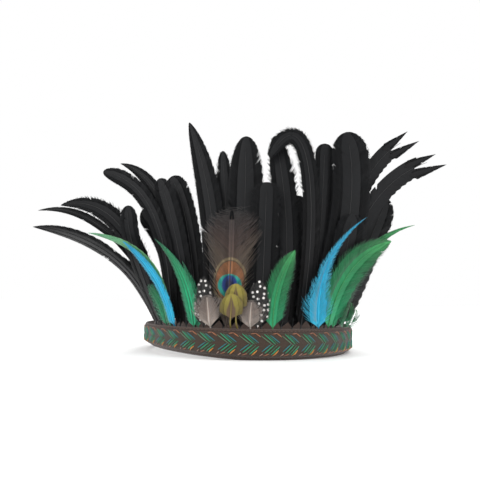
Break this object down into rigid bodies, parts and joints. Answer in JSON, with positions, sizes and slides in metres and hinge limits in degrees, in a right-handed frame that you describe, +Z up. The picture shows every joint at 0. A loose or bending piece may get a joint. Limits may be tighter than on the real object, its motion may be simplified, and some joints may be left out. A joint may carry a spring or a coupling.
{
  "type": "feathered headdress",
  "caption": "Worn headdress: a fan of black plumes with peacock, gold, spotted, green and blue accent feathers standing in a cloth headband with a woven leaf-pattern braid.",
  "frame": {"origin": "middle of the foot of the whole object's box, on the surface that the band's lower rim rests on", "axes": "+X to the wearer's left, along the fan's longest extent; -Y is the front of the head; +Z up"},
  "size_m": [0.3302, 0.211, 0.1746],
  "materials": {
    "tape_brown": "matt brown woven tape",
    "braid": "woven braid, green leaf and copper herringbone on brown",
    "feather_black": "black plume with a soft sheen",
    "feather_peacock": "bronze brown barbs with a teal and blue eye",
    "feather_gold": "gold-olive with a brown wedge",
    "feather_spotted": "black with white dots",
    "down_taupe": "soft grey-brown down",
    "feather_green": "dyed green hackle",
    "feather_blue": "dyed bright blue hackle"
  },
  "bodies": {
    "root": {"backing_band": "tape_brown", "face_band": "tape_brown", "woven_trim": "braid", "black_plume_01": "feather_black", "black_plume_02": "feather_black", "black_plume_03": "feather_black", "black_plume_04": "feather_black", "black_plume_05": "feather_black", "black_plume_06": "feather_black", "black_plume_07": "feather_black", "black_plume_08": "feather_black", "black_plume_09": "feather_black", "black_plume_10": "feather_black", "black_plume_11": "feather_black", "black_plume_12": "feather_black", "black_plume_13": "feather_black", "black_plume_14": "feather_black", "black_plume_15": "feather_black", "black_plume_16": "feather_black", "black_plume_17": "feather_black", "black_plume_18": "feather_black", "black_plume_19": "feather_black", "black_plume_20": "feather_black", "black_plume_21": "feather_black", "black_plume_22": "feather_black", "black_plume_23": "feather_black", "black_plume_24": "feather_black", "black_plume_25": "feather_black", "peacock_eye_feather": "feather_peacock", "gold_feather_upper": "feather_gold", "gold_feather_lower": "feather_gold", "spotted_feather_left": "feather_spotted", "spotted_feather_right": "feather_spotted", "taupe_down_left": "down_taupe", "taupe_down_right": "down_taupe", "green_hackle_1": "feather_green", "green_hackle_2": "feather_green", "green_hackle_3": "feather_green", "green_hackle_4": "feather_green", "green_hackle_5": "feather_green", "green_hackle_6": "feather_green", "green_down_left": "feather_green", "blue_hackle_left": "feather_blue", "blue_hackle_right": "feather_blue"}
  },
  "joints": []
}
